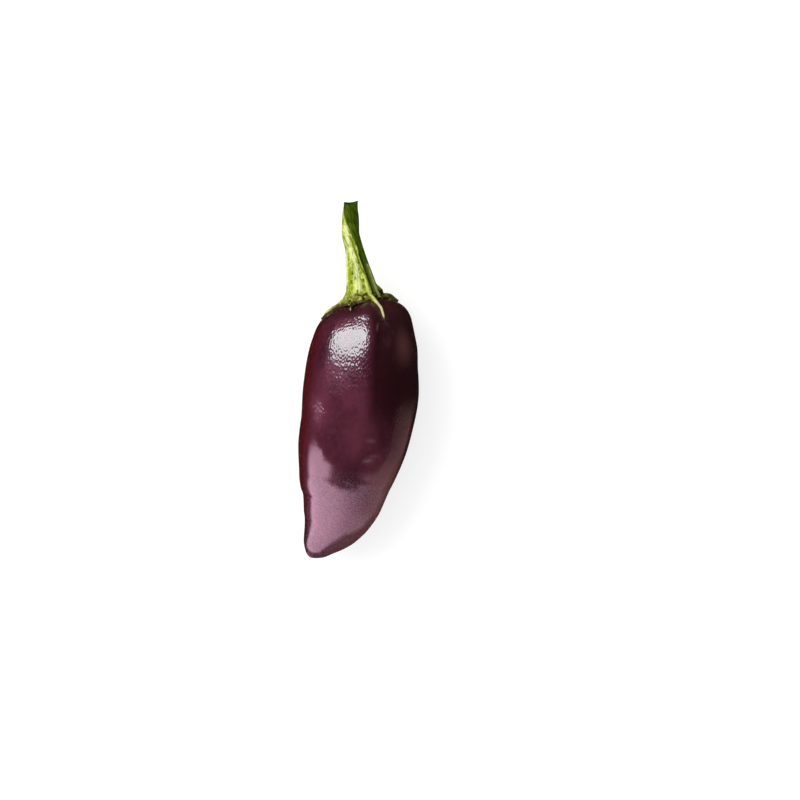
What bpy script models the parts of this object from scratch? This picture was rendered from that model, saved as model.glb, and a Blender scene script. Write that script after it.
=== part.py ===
"""A purple jalapeno pepper, picked with its stalk and lying on its side.

Two pieces, as they grow: the pod, and the green stalk whose foot spreads into the toothed calyx on the
pod's crown. Metres, +Z up. The stalk points along +Y and the blossom end along -Y. The origin is on the
surface that the pod lies on, under the middle of the whole pepper.
"""

import math

import bmesh
import bpy
import numpy as np

MM = 0.001

# Pod, in millimetres. The spine runs from the crown under the calyx to the blossom end, and each point
# has the pod's half width there. The rounded ends take the width to nothing over their own depths.
POD_SPINE = np.array(
    [
        (1.15, 21.4, -1.5),
        (1.85, 16.0, -0.8),
        (1.6, 10.2, -0.1),
        (0.9, 3.5, 0.25),
        (0.5, -4.0, 0.15),
        (-0.5, -11.5, -0.2),
        (-2.1, -19.0, -0.5),
        (-3.55, -26.5, -0.9),
        (-4.8, -33.3, -1.4),
        (-7.55, -39.6, -2.1),
        (-10.8, -44.4, -2.7),
        (-13.3, -47.9, -3.2),
    ]
)
POD_HALF_WIDTH = np.array([11.1, 12.4, 14.2, 15.15, 15.65, 15.15, 14.45, 12.7, 10.75, 8.15, 4.7, 2.1])
POD_DEPTH_SHARE = 0.93
CROWN_DEPTH = 6.2
BLOSSOM_DEPTH = 3.0
CROWN_SQUARENESS = 2.2

# Where neighbouring chambers of the pod meet, a furrow runs down from the crown and fades out. Angles
# are about the spine, from the top of the lying pod towards +X. The chambers swell a little between.
FURROW_ANGLES = (20.0, 143.0, 258.0)
FURROW_DEPTHS = (0.9, 0.8, 1.0)
FURROW_HALF_ANGLE = 13.0
FURROW_FULL_LENGTH = 7.2
FURROW_END_LENGTH = 24.0
CHAMBER_SWELL = 0.016
SWELL_FADE = (0.55, 0.95)
CHAMBER_HALF_ANGLE = 60.0

# The pod gives a little where it lies, which leaves a small flat on its underside.
FLAT_DEPTH = 0.36

# Stalk, in millimetres, from the pod's crown to the cut, with its half width at each point.
STALK_SPINE = np.array(
    [
        (1.4, 21.4, -1.5),
        (0.75, 26.0, -2.1),
        (-0.25, 31.2, -2.6),
        (-1.0, 35.6, -2.6),
        (-2.1, 40.0, -2.1),
        (-2.05, 44.0, -1.2),
        (-1.9, 48.1, 0.0),
    ]
)
STALK_HALF_WIDTH = np.array([4.6, 3.8, 3.0, 2.45, 2.45, 2.15, 1.85])

# The cut is a shallow hollow, lower on one side and dipping between its two sides.
CUT_HOLLOW = 0.7
CUT_SLANT = 0.25
CUT_DIP = 0.55
CUT_REACH = 0.33
CUT_RIM_SHARE = 0.96

# Calyx teeth: the angle about the pod, the reach over the crown from its middle, the half angle at the
# root, and how far the tip stands off the skin. A rib runs from each tooth up the stalk.
TEETH = (
    (-84.0, 12.5, 18.0, 0.8),
    (-17.0, 12.3, 12.0, 0.1),
    (26.0, 15.2, 12.0, 0.25),
    (80.0, 9.8, 13.0, 0.3),
    (148.0, 12.6, 20.0, 0.2),
    (213.0, 12.0, 20.0, 0.1),
)
TOOTH_TAPER = 2.0
CALYX_THICKNESS = 0.7
TOOTH_RIDGE = 0.3
TOOTH_TIP_THICKNESS = 0.6
EDGE_ROUNDING = 0.62
SKIN_GAP = 0.3

# Between its teeth the calyx has this reach over the crown, and less where its rim is drawn in at one side.
CALYX_RIM_REACH = 8.6
RIM_DRAWN_IN = 2.2
DRAWN_IN_ANGLE = 55.0
DRAWN_IN_HALF_ANGLE = 62.0

# The stalk's foot spreads into the calyx from a height on the stalk to a share of the rim's reach. It has a
# fleshy shoulder at one side, which swells the foot and thickens the calyx below it.
FLARE_START = 4.4
FLARE_SHARE = 0.84
FLARE_PULL = 1.25
SHOULDER_ANGLE = 88.0
SHOULDER_HALF_ANGLE = 36.0
SHOULDER_SWELL = 0.7
FLARE_SWELL = 1.0

# Ribs of the stalk, which turn about it as they climb and turn faster near the cut.
RIB_RISE = 0.09
RIB_GROOVE = 0.03
RIB_HALF_ANGLE = 12.0
RIB_TWIST = 105.0

# How much of the pod's length the calyx may cover, and the steps that measure the reach over it.
SEAT_SHARE = 0.35
SEAT_STEPS = 240

# Numbers of points round and along each piece. The calyx has points in step with its teeth.
POD_AROUND = 64
CROWN_ROWS = 9
BODY_ROWS = 26
BLOSSOM_ROWS = 7
CALYX_AROUND = 90
TIP_CROWDING = 0.75
CUT_ROWS = 4
STALK_ROWS = 14
FLARE_ROWS = 8
TOOTH_ROWS = 6
UNDERSIDE_ROWS = 7


def smooth_between(low, high, at):
    """0 below low and 1 above high, with an S curve between them."""
    share = np.clip((at - low) / (high - low), 0.0, 1.0)
    return share * share * (3.0 - 2.0 * share)


def joined_by_cubic(start, start_slope, end, end_slope, u):
    """The cubic from start to end that leaves and arrives with the given slopes, u going from 0 to 1."""
    leaving = (1 + 2 * u) * (1 - u) ** 2 * start + u * (1 - u) ** 2 * start_slope
    arriving = u**2 * (3 - 2 * u) * end + u**2 * (u - 1) * end_slope
    return leaving + arriving


def through(knots, values, at):
    """A smooth curve through values at knots: cubics whose slopes come from the neighbouring points."""
    slopes = np.gradient(values, knots, axis=0)
    at = np.clip(at, knots[0], knots[-1])
    i = np.clip(np.searchsorted(knots, at, side="right") - 1, 0, len(knots) - 2)
    span = knots[i + 1] - knots[i]
    u = (at - knots[i]) / span
    if values.ndim > 1:
        span, u = span[..., None], u[..., None]
    return joined_by_cubic(values[i], span * slopes[i], values[i + 1], span * slopes[i + 1], u)


def knots_along(spine):
    """The share of a spine's length at each of its points, and the whole length."""
    steps = np.linalg.norm(np.diff(spine, axis=0), axis=1)
    lengths = np.concatenate([[0.0], np.cumsum(steps)])
    return lengths / lengths[-1], lengths[-1]


def unit(vectors):
    return vectors / np.linalg.norm(vectors, axis=-1, keepdims=True)


def frame_along(spine, at, sense):
    """The spine's point at a share of its length, with the section's +X side and its upper side.

    sense is 1 on a spine that runs towards -Y and -1 on one that runs towards +Y.
    """
    knots, _ = knots_along(spine)
    small = 1e-4
    behind = through(knots, spine, np.maximum(at - small, 0.0))
    before = through(knots, spine, np.minimum(at + small, 1.0))
    ahead = unit(before - behind)
    side = unit(np.cross(np.array([0.0, 0.0, 1.0]), ahead)) * sense
    return through(knots, spine, at), side, np.cross(ahead, side) * sense


def angle_between(a, b):
    """The signed difference of two angles in radians, from -pi to pi."""
    return (a - b + math.pi) % (2 * math.pi) - math.pi


def bell(around, angle, half_angle, power=2.0):
    """1 at an angle in degrees, falling to nothing on both sides of it."""
    off = angle_between(around, math.radians(angle)) / math.radians(half_angle)
    return np.exp(-(np.abs(off) ** power))


def pod_radius(along, around, length):
    """The pod's radius as a share of its half width, with its furrows and its chambers' swell."""
    fade = 1.0 - smooth_between(FURROW_FULL_LENGTH, FURROW_END_LENGTH, along * length)
    radius = np.ones_like(around * along)
    for angle, depth in zip(FURROW_ANGLES, FURROW_DEPTHS):
        radius = radius - fade * depth / POD_HALF_WIDTH[1] * bell(around, angle, FURROW_HALF_ANGLE)
    swell = CHAMBER_SWELL * (1.0 - smooth_between(*SWELL_FADE, along))
    middle = math.radians(FURROW_ANGLES[0] - CHAMBER_HALF_ANGLE)
    return radius + swell * np.cos(len(FURROW_ANGLES) * (around - middle))


def pod_point(along, around):
    """A point of the skin. along is 0 at the crown and 1 at the blossom end, around is in radians."""
    knots, length = knots_along(POD_SPINE)
    centre, side, up = frame_along(POD_SPINE, along, 1)
    crown = np.clip(1.0 - along * length / CROWN_DEPTH, 0.0, 1.0)
    blossom = np.clip(1.0 - (1.0 - along) * length / BLOSSOM_DEPTH, 0.0, 1.0)
    rounding = (1.0 - crown**CROWN_SQUARENESS) ** (1.0 / CROWN_SQUARENESS) * np.sqrt(1.0 - blossom**2)
    reach = through(knots, POD_HALF_WIDTH, along) * rounding * pod_radius(along, around, length)
    across = side * (reach * np.sin(around))[..., None]
    return centre + across + up * (reach * POD_DEPTH_SHARE * np.cos(around))[..., None]


def pod_rows():
    """Shares of the pod's length for its rows, close together on the two rounded ends."""
    _, length = knots_along(POD_SPINE)
    crown_end = CROWN_DEPTH / length
    blossom_start = 1.0 - BLOSSOM_DEPTH / length
    crown = crown_end * (1.0 - np.cos(np.linspace(0.0, math.pi / 2, CROWN_ROWS + 1)))
    body = np.linspace(crown_end, blossom_start, BODY_ROWS + 1)[1:]
    turns = np.linspace(0.0, math.pi / 2, BLOSSOM_ROWS + 1)[1:]
    return np.concatenate([crown, body, blossom_start + (1.0 - blossom_start) * np.sin(turns)])


def calyx_seat(reach, around):
    """The pod's skin at a reach over the crown from its middle, the way out of it and the way down it."""
    shares = np.linspace(0.0, SEAT_SHARE, SEAT_STEPS)
    meridians = pod_point(shares[:, None], around[None, :])
    steps = np.linalg.norm(np.diff(meridians, axis=0), axis=-1)
    arc = np.concatenate([np.zeros((1, len(around))), np.cumsum(steps, axis=0)])
    along = np.stack([np.interp(reach[:, k], arc[:, k], shares) for k in range(len(around))], axis=1)
    small = 2e-4
    above, below = np.maximum(along - small, 0.0), along + small
    down = unit(pod_point(below, around[None, :]) - pod_point(above, around[None, :]))
    sideways = pod_point(below, around[None, :] + small) - pod_point(below, around[None, :] - small)
    return pod_point(along, around[None, :]), unit(np.cross(down, sideways)), down


def calyx_rim(around):
    """Reach of the calyx between its teeth at each angle."""
    return CALYX_RIM_REACH - RIM_DRAWN_IN * bell(around, DRAWN_IN_ANGLE, DRAWN_IN_HALF_ANGLE)


def calyx_edge(around):
    """Reach of the calyx's edge at each angle, how near a tooth's middle it is, and its tip's lift."""
    rim = calyx_rim(around)
    reach = rim.copy()
    crest = np.zeros_like(around)
    lift = np.zeros_like(around)
    for angle, tip, half_angle, rise in TEETH:
        off = np.abs(angle_between(around, math.radians(angle))) / math.radians(half_angle)
        share = np.clip(1.0 - off, 0.0, 1.0)
        reach = reach + (tip - rim) * share**TOOTH_TAPER
        crest = np.maximum(crest, share)
        lift = lift + rise * share
    return reach, crest, lift


def calyx_angles():
    """Angles about the calyx, with one on each tooth's tip and the others crowding towards the tips."""
    tips = [tooth[0] for tooth in TEETH]
    angles = []
    for tip, following in zip(tips, tips[1:] + [tips[0] + 360.0]):
        count = round(CALYX_AROUND * (following - tip) / 360.0)
        share = np.arange(count) / count
        share = share - TIP_CROWDING * np.sin(2 * math.pi * share) / (2 * math.pi)
        angles.append(tip + (following - tip) * share)
    return np.radians(np.concatenate(angles))


def stalk_point(height, around):
    """A point of the stalk's side. height is 0 at the crown and 1 at the cut."""
    knots, _ = knots_along(STALK_SPINE)
    centre, side, up = frame_along(STALK_SPINE, height, -1)
    twist = math.radians(RIB_TWIST) * height**3
    ribs = sum(bell(around + twist, tooth[0], RIB_HALF_ANGLE, 1.5) for tooth in TEETH)
    radius = through(knots, STALK_HALF_WIDTH, height) * (1.0 - RIB_GROOVE + RIB_RISE * ribs)
    return centre + side * (radius * np.sin(around))[..., None] + up * (radius * np.cos(around))[..., None]


def stalk_rows(around):
    """Rows of points over the cut and down the stalk, with the middle of the cut."""
    _, length = knots_along(STALK_SPINE)
    top, side, up = frame_along(STALK_SPINE, np.array([1.0]), -1)
    ahead = np.cross(up, side)
    rim = stalk_point(1.0, around)
    unevenness = ahead * (CUT_SLANT * np.sin(around) - CUT_DIP * np.cos(around) ** 2)[:, None]
    rows = []
    for share in np.arange(1, CUT_ROWS) / CUT_ROWS:
        hollow = ahead * CUT_HOLLOW * (1.0 - share**2)
        rows.append(top + (rim - top) * share * CUT_RIM_SHARE - hollow + unevenness * share)
    for height in np.linspace(1.0, FLARE_START / length, STALK_ROWS + 1):
        nearness = max(0.0, 1.0 - (1.0 - height) / CUT_REACH)
        rows.append(stalk_point(height, around) + unevenness * nearness)
    return rows, top[0] - ahead[0] * CUT_HOLLOW


def calyx_thickness(around, crest):
    """The calyx's thickness above its teeth: more on each tooth's ridge and at the shoulder."""
    shoulder = SHOULDER_SWELL * bell(around, SHOULDER_ANGLE, SHOULDER_HALF_ANGLE)
    return CALYX_THICKNESS * (1.0 + TOOTH_RIDGE * crest) + shoulder


def flare_rows(around, crest, start):
    """Rows of points from the foot of the stalk out over the crown, swollen at the shoulder."""
    _, length = knots_along(STALK_SPINE)
    foot, _, _ = frame_along(STALK_SPINE, np.array([FLARE_START / length]), -1)
    swell = unit(start - foot) * FLARE_SWELL * bell(around, SHOULDER_ANGLE, SHOULDER_HALF_ANGLE)[:, None]
    lower = stalk_point(FLARE_START / length - 0.02, around)
    seat, out, down = calyx_seat(FLARE_SHARE * calyx_rim(around)[None, :], around)
    end = seat[0] + out[0] * (SKIN_GAP + calyx_thickness(around, crest))[:, None]
    pull = np.linalg.norm(end - start, axis=1, keepdims=True) * FLARE_PULL
    rows = []
    for u in np.arange(1, FLARE_ROWS + 1) / FLARE_ROWS:
        curve = joined_by_cubic(start, unit(lower - start) * pull, end, down[0] * pull, u)
        rows.append(curve + swell * math.sin(math.pi * u) ** 2)
    return rows


def calyx_rows(around, edge, crest, lift):
    """Rows of points down the teeth, round their edge and back up the underside, clear of the skin."""
    shares = np.linspace(0.0, 1.0, TOOTH_ROWS + 1)[1:]
    rim = calyx_rim(around)[None, :]
    reach = FLARE_SHARE * rim + (edge[None, :] - FLARE_SHARE * rim) * shares[:, None]
    seat, out, _ = calyx_seat(reach, around)
    far = smooth_between(0.0, 1.0, (reach - rim) / (edge.max() - rim))
    thickness = calyx_thickness(around, crest)[None, :] * (1.0 - far) + TOOTH_TIP_THICKNESS * far
    rounding = np.where(shares < 1.0, 1.0, EDGE_ROUNDING)[:, None]
    underside = SKIN_GAP + lift[None, :] * far**2
    rows = list(seat + out * (underside + thickness * rounding)[..., None])
    rows.append(seat[-1] + out[-1] * underside[-1][:, None])

    shares = np.linspace(1.0, 0.0, UNDERSIDE_ROWS + 1)[1:-1]
    reach = edge[None, :] * shares[:, None]
    seat, out, _ = calyx_seat(reach, around)
    far = smooth_between(0.0, 1.0, (reach - rim) / (edge.max() - rim))
    return rows + list(seat + out * (SKIN_GAP + lift[None, :] * far**2)[..., None])


def skin_between_rows(name, rows, first_pole, last_pole):
    """One closed mesh over rows of points, each row a ring, with a pole at either end."""
    mesh = bmesh.new()
    rings = [[mesh.verts.new(point * MM) for point in row] for row in rows]
    first = mesh.verts.new(first_pole * MM)
    last = mesh.verts.new(last_pole * MM)
    count = len(rings[0])
    for k in range(count):
        after = (k + 1) % count
        mesh.faces.new((first, rings[0][after], rings[0][k]))
        mesh.faces.new((last, rings[-1][k], rings[-1][after]))
        for upper, lower in zip(rings, rings[1:]):
            mesh.faces.new((upper[k], upper[after], lower[after], lower[k]))
    bmesh.ops.recalc_face_normals(mesh, faces=mesh.faces)
    bmesh.ops.triangulate(mesh, faces=mesh.faces)
    data = bpy.data.meshes.new(name)
    mesh.to_mesh(data)
    mesh.free()
    data.shade_smooth()
    obj = bpy.data.objects.new(name, data)
    bpy.context.scene.collection.objects.link(obj)
    return obj


def plain_material(name, colour, roughness):
    """A Principled material of one colour."""
    material = bpy.data.materials.new(name)
    material.use_nodes = True
    shader = material.node_tree.nodes["Principled BSDF"]
    shader.inputs["Base Color"].default_value = (*colour, 1.0)
    shader.inputs["Roughness"].default_value = roughness
    shader.inputs["Metallic"].default_value = 0.0
    return material


def clear_scene():
    for obj in list(bpy.data.objects):
        bpy.data.objects.remove(obj, do_unlink=True)


def build_pod():
    """The pod, and the height of the flat on its underside."""
    around = np.linspace(-math.pi, math.pi, POD_AROUND + 1)[:-1]
    along = pod_rows()
    rows = pod_point(along[1:-1, None], around[None, :])
    low = rows[..., 2].min() + FLAT_DEPTH
    rows[..., 2] = np.maximum(rows[..., 2], low)
    ends = pod_point(along[[0, -1]], np.zeros(2))
    pod = skin_between_rows("pod", rows, ends[0], ends[1])
    pod.data.materials.append(plain_material("purple_skin", (0.06, 0.012, 0.028), 0.25))
    return pod, low


def build_stalk():
    """The stalk and the calyx, which are one piece."""
    around = calyx_angles()
    edge, crest, lift = calyx_edge(around)
    rows, cut_middle = stalk_rows(around)
    rows += flare_rows(around, crest, rows[-1])
    rows += calyx_rows(around, edge, crest, lift)
    seat, out, _ = calyx_seat(np.full((1, 1), SKIN_GAP), np.zeros(1))
    stalk = skin_between_rows("stalk_and_calyx", rows, cut_middle, seat[0, 0] + out[0, 0] * SKIN_GAP)
    stalk.data.materials.append(plain_material("green_stalk", (0.30, 0.42, 0.05), 0.5))
    return stalk


def set_on_surface(pieces, low):
    """Moves the pieces so that the flat is at height 0 and the origin is under the middle of their box."""
    points = np.array([vert.co for piece in pieces for vert in piece.data.vertices])
    middle = (points.min(axis=0) + points.max(axis=0)) / 2.0
    for piece in pieces:
        place = np.empty(len(piece.data.vertices) * 3)
        piece.data.vertices.foreach_get("co", place)
        place = place.reshape(-1, 3) - (middle[0], middle[1], low * MM)
        piece.data.vertices.foreach_set("co", place.ravel())
        piece.data.update()
    return middle


def main():
    clear_scene()
    pod, low = build_pod()
    stalk = build_stalk()
    return set_on_surface((pod, stalk), low)


main()
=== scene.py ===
"""A purple jalapeno pepper lying on a pale surface: the fine skin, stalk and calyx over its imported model."""

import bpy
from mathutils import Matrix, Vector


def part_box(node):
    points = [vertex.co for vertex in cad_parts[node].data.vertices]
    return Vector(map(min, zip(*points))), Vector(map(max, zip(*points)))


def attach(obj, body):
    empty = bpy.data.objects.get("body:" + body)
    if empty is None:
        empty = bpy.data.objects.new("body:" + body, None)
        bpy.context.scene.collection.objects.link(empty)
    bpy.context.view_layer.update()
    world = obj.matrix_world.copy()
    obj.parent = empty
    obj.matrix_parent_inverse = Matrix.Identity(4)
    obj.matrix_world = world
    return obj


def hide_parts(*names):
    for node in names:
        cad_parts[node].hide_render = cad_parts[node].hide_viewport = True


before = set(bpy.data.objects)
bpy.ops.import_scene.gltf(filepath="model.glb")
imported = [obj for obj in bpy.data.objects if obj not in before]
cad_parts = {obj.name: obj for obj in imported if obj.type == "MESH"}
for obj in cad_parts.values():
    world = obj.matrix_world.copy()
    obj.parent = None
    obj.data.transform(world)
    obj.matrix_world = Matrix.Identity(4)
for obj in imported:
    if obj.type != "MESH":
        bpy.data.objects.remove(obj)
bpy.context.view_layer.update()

import math

import bpy
import mathutils
import numpy as np

# The pod
# A hollow berry with firm flesh under a thin waxy skin, dark plum where the sun reached it. Painted shade
# darkens its left edge to maroon and its right side to near black, and painted sheen and glints lighten it
# in places. It grew in one piece, with shallow furrows from the crown where its chambers meet.

MM = 0.001

# Points of the pod's spine from the crown to the blossom end, and its half width at them, in millimetres.
POD_SPINE = np.array(
    [
        (1.15, 21.4, -1.5),
        (1.85, 16.0, -0.8),
        (1.6, 10.2, -0.1),
        (0.9, 3.5, 0.25),
        (0.5, -4.0, 0.15),
        (-0.5, -11.5, -0.2),
        (-2.1, -19.0, -0.5),
        (-3.55, -26.5, -0.9),
        (-4.8, -33.3, -1.4),
        (-7.55, -39.6, -2.1),
        (-10.8, -44.4, -2.7),
        (-13.3, -47.9, -3.2),
    ]
)
POD_HALF_WIDTH = np.array([11.1, 12.4, 14.2, 15.15, 15.65, 15.15, 14.45, 12.7, 10.75, 8.15, 4.7, 2.1])

# The section is less deep than wide, and both ends are rounded off over their depths. Each furrow leaves the
# crown at its angle from the top and fades out between two lengths. The chambers between the furrows swell,
# and stop between two shares of the pod's length. A flat is pressed in where the pod lies.
POD_DEPTH_SHARE = 0.93
CROWN_DEPTH = 6.2
BLOSSOM_DEPTH = 3.0
CROWN_SQUARENESS = 2.2
FURROW_ANGLES = (20.0, 143.0, 258.0)
FURROW_DEPTHS = (0.9, 0.8, 1.0)
FURROW_HALF_ANGLE = 13.0
FURROW_FULL_LENGTH = 7.2
FURROW_END_LENGTH = 24.0
CHAMBER_SWELL = 0.016
SWELL_FADE = (0.55, 0.95)
CHAMBER_HALF_ANGLE = 60.0
FLAT_DEPTH = 0.36

# Relief of the skin: slow dents, small dimples, creases gathered in round the calyx, a low swell across the
# top in a plain stretch without dimples, the front furrow's half angles to either side, and one flat face.
# Lengths are in millimetres, angles in degrees from the top, and places and half lengths of the swell, the
# plain stretch and the face are shares of the pod's length.
DENT_WAVELENGTH = 13.0
DENT_HEIGHT = 0.03
DIMPLE_WAVELENGTH = 3.6
DIMPLE_HEIGHT = 0.012
CREASE_COUNT = 19
CREASE_HEIGHT = 0.05
CREASE_LENGTH = 6.0
CREASE_WANDER = 1.5
SWELL_HEIGHT = 0.1
SWELL_ALONG = 0.694
SWELL_HALF_LENGTH = 0.03
SWELL_ANGLE = 5.0
SWELL_HALF_ANGLE = 45.0
PLAIN_HALF_LENGTH = 0.09
PLAIN_HALF_ANGLE = 50.0
FURROW_SIDES = (9.0, 17.0)
FACE_ANGLE = -17.0
FACE_HALF_ANGLE = 24.0
FACE_DEPTH = 0.6
FACE_END = (0.16, 0.5)

# Points round the pod, and rings over its crown, its body and its blossom end.
POD_AROUND = 384
CROWN_ROWS = 40
BODY_ROWS = 164
BLOSSOM_ROWS = 38


def smooth_between(low, high, at):
    """0 below low and 1 above high, with the S curve 3s^2 - 2s^3 between them."""
    share = np.clip((at - low) / (high - low), 0.0, 1.0)
    return share * share * (3.0 - 2.0 * share)


def joined_by_cubic(start, start_slope, end, end_slope, u):
    """The cubic from start to end that leaves and arrives with the given slopes, u going from 0 to 1."""
    leaving = (1 + 2 * u) * (1 - u) ** 2 * start + u * (1 - u) ** 2 * start_slope
    arriving = u**2 * (3 - 2 * u) * end + u**2 * (u - 1) * end_slope
    return leaving + arriving


def through(knots, values, at):
    """A smooth curve through values at knots: cubics whose slopes come from the neighbouring points."""
    slopes = np.gradient(values, knots, axis=0)
    at = np.clip(at, knots[0], knots[-1])
    i = np.clip(np.searchsorted(knots, at, side="right") - 1, 0, len(knots) - 2)
    span = knots[i + 1] - knots[i]
    u = (at - knots[i]) / span
    if values.ndim > 1:
        span, u = span[..., None], u[..., None]
    return joined_by_cubic(values[i], span * slopes[i], values[i + 1], span * slopes[i + 1], u)


def knots_along(spine):
    """The share of a spine's length at each of its points, and the whole length."""
    steps = np.linalg.norm(np.diff(spine, axis=0), axis=1)
    lengths = np.concatenate([[0.0], np.cumsum(steps)])
    return lengths / lengths[-1], lengths[-1]


def unit(vectors):
    """Vectors divided by their lengths."""
    return vectors / np.maximum(np.linalg.norm(vectors, axis=-1, keepdims=True), 1e-12)


def frame_along(spine, at, sense):
    """The spine's point at a share of its length, with the section's +X side and its upper side.

    The spine's direction comes from two near points, the side is vertical x direction, and the upper side
    is direction x side. sense is 1 on a spine that runs towards -Y and -1 on one that runs towards +Y.
    """
    knots, _ = knots_along(spine)
    small = 1e-4
    behind = through(knots, spine, np.maximum(at - small, 0.0))
    before = through(knots, spine, np.minimum(at + small, 1.0))
    ahead = unit(before - behind)
    side = unit(np.cross(np.array([0.0, 0.0, 1.0]), ahead)) * sense
    return through(knots, spine, at), side, np.cross(ahead, side) * sense


def angle_between(a, b):
    """The signed difference of two angles in radians, from -pi to pi."""
    return (a - b + math.pi) % (2 * math.pi) - math.pi


def bell(around, angle, half_angle, power=2.0):
    """exp(-|offset / half angle|^power): 1 at an angle in degrees, falling to nothing on both sides."""
    off = angle_between(around, math.radians(angle)) / math.radians(half_angle)
    return np.exp(-(np.abs(off) ** power))


def waves(points, wavelength, seed, count=14):
    """Smooth unevenness from about -1 to 1: a scaled sum of sine waves of seeded directions and lengths."""
    draw = np.random.default_rng(seed)
    directions = unit(draw.normal(size=(count, 3)))
    lengths = wavelength * draw.uniform(0.75, 1.35, count)
    phases = draw.uniform(0.0, 2 * math.pi, count)
    turns = points @ (directions / lengths[:, None]).T * 2 * math.pi + phases
    return np.sin(turns).sum(axis=-1) * math.sqrt(2.0 / count) / 1.6


def pod_radius(along, around, length):
    """1, less a bell at each furrow that fades down the pod, plus a cosine with a crest on each chamber."""
    fade = 1.0 - smooth_between(FURROW_FULL_LENGTH, FURROW_END_LENGTH, along * length)
    radius = np.ones_like(around * along)
    for angle, depth in zip(FURROW_ANGLES, FURROW_DEPTHS):
        radius = radius - fade * depth / POD_HALF_WIDTH[1] * bell(around, angle, FURROW_HALF_ANGLE)
    swell = CHAMBER_SWELL * (1.0 - smooth_between(*SWELL_FADE, along))
    middle = math.radians(FURROW_ANGLES[0] - CHAMBER_HALF_ANGLE)
    return radius + swell * np.cos(len(FURROW_ANGLES) * (around - middle))


def pod_point(along, around):
    """The spine's point plus sine and cosine of the angle by the half width, rounded off at both ends."""
    knots, length = knots_along(POD_SPINE)
    centre, side, up = frame_along(POD_SPINE, along, 1)
    crown = np.clip(1.0 - along * length / CROWN_DEPTH, 0.0, 1.0)
    blossom = np.clip(1.0 - (1.0 - along) * length / BLOSSOM_DEPTH, 0.0, 1.0)
    rounding = (1.0 - crown**CROWN_SQUARENESS) ** (1.0 / CROWN_SQUARENESS) * np.sqrt(1.0 - blossom**2)
    reach = through(knots, POD_HALF_WIDTH, along) * rounding * pod_radius(along, around, length)
    across = side * (reach * np.sin(around))[..., None]
    return centre + across + up * (reach * POD_DEPTH_SHARE * np.cos(around))[..., None]


def pod_rows():
    """Shares of the pod's length: evenly down the body, and by equal turns round the two ends."""
    _, length = knots_along(POD_SPINE)
    crown_end = CROWN_DEPTH / length
    blossom_start = 1.0 - BLOSSOM_DEPTH / length
    crown = crown_end * (1.0 - np.cos(np.linspace(0.0, math.pi / 2, CROWN_ROWS + 1)))
    body = np.linspace(crown_end, blossom_start, BODY_ROWS + 1)[1:]
    turns = np.linspace(0.0, math.pi / 2, BLOSSOM_ROWS + 1)[1:]
    return np.concatenate([crown, body, blossom_start + (1.0 - blossom_start) * np.sin(turns)])


def outward(grid):
    """The unit normal at each point of a grid of rings: the way down it crossed with the way round it."""
    down = np.gradient(grid, axis=0)
    wrapped = np.concatenate([grid[:, -1:], grid, grid[:, :1]], axis=1)
    return unit(np.cross(down, wrapped[:, 2:] - wrapped[:, :-2]))


def bell_at(along, middle, half_length):
    """exp(-(offset / half length)^2): 1 at a middle, and falling to nothing on both sides of it."""
    return np.exp(-(((along - middle) / half_length) ** 2))


def pod_relief(points, along, around):
    """Dents and dimples as waves, creases as a cosine round the crown, a swell as two bells, and a face.

    The face is a bell across the pod, cut to its full depth under the crown and gone halfway down. The front
    furrow is filled and cut again as deep, by a bell that is steep on one side and slow on the other.
    """
    _, length = knots_along(POD_SPINE)
    fade = 1.0 - smooth_between(FURROW_FULL_LENGTH, FURROW_END_LENGTH, along * length)
    off = np.degrees(angle_between(around, math.radians(FURROW_ANGLES[0])))
    recut = np.exp(-((off / np.where(off < 0.0, *FURROW_SIDES)) ** 2))
    furrow = bell(around, FURROW_ANGLES[0], FURROW_HALF_ANGLE) - recut
    dents = DENT_HEIGHT * waves(points, DENT_WAVELENGTH, seed=3)
    plain = bell_at(along, SWELL_ALONG, PLAIN_HALF_LENGTH) * bell(around, 0.0, PLAIN_HALF_ANGLE)
    dimples = DIMPLE_HEIGHT * waves(points, DIMPLE_WAVELENGTH, seed=8) * (1.0 - plain)
    turn = CREASE_COUNT * around + CREASE_WANDER * waves(points, DENT_WAVELENGTH / 2, seed=5)
    creases = CREASE_HEIGHT * np.cos(turn) * np.exp(-along * length / CREASE_LENGTH)
    swell = bell_at(along, SWELL_ALONG, SWELL_HALF_LENGTH) * bell(around, SWELL_ANGLE, SWELL_HALF_ANGLE)
    face = FACE_DEPTH * bell(around, FACE_ANGLE, FACE_HALF_ANGLE) * smooth_between(*FACE_END[::-1], along)
    return dents + dimples + creases + SWELL_HEIGHT * swell - face + fade * FURROW_DEPTHS[0] * furrow


def in_scene(name, data):
    """A new object with this mesh, light or camera, put into the scene."""
    made = bpy.data.objects.new(name, data)
    bpy.context.scene.collection.objects.link(made)
    return made


def closed_skin(name, rings, first_pole, last_pole, attributes):
    """A mesh in metres over rings of points in millimetres, closed by a fan of triangles at either pole.

    attributes holds a number for each point of the rings under each name; a pole takes its ring's mean.
    """
    rows, count = rings.shape[:2]
    points = np.concatenate([rings.reshape(-1, 3), [first_pole, last_pole]]) * MM
    corner = np.arange(rows * count).reshape(rows, count)
    after = np.roll(corner, -1, axis=1)
    quads = np.stack([corner[:-1], corner[1:], after[1:], after[:-1]], axis=-1).reshape(-1, 4)
    first = np.stack([np.full(count, rows * count), corner[0], after[0]], axis=-1)
    last = np.stack([np.full(count, rows * count + 1), after[-1], corner[-1]], axis=-1)
    mesh = bpy.data.meshes.new(name)
    mesh.from_pydata(points, [], quads.tolist() + first.tolist() + last.tolist())
    for label, values in attributes.items():
        poles = [values[0].mean(), values[-1].mean()]
        layer = mesh.attributes.new(label, "FLOAT", "POINT")
        layer.data.foreach_set("value", np.concatenate([values.ravel(), poles]).astype(np.float32))
    mesh.shade_smooth()
    return in_scene(name, mesh)
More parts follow.
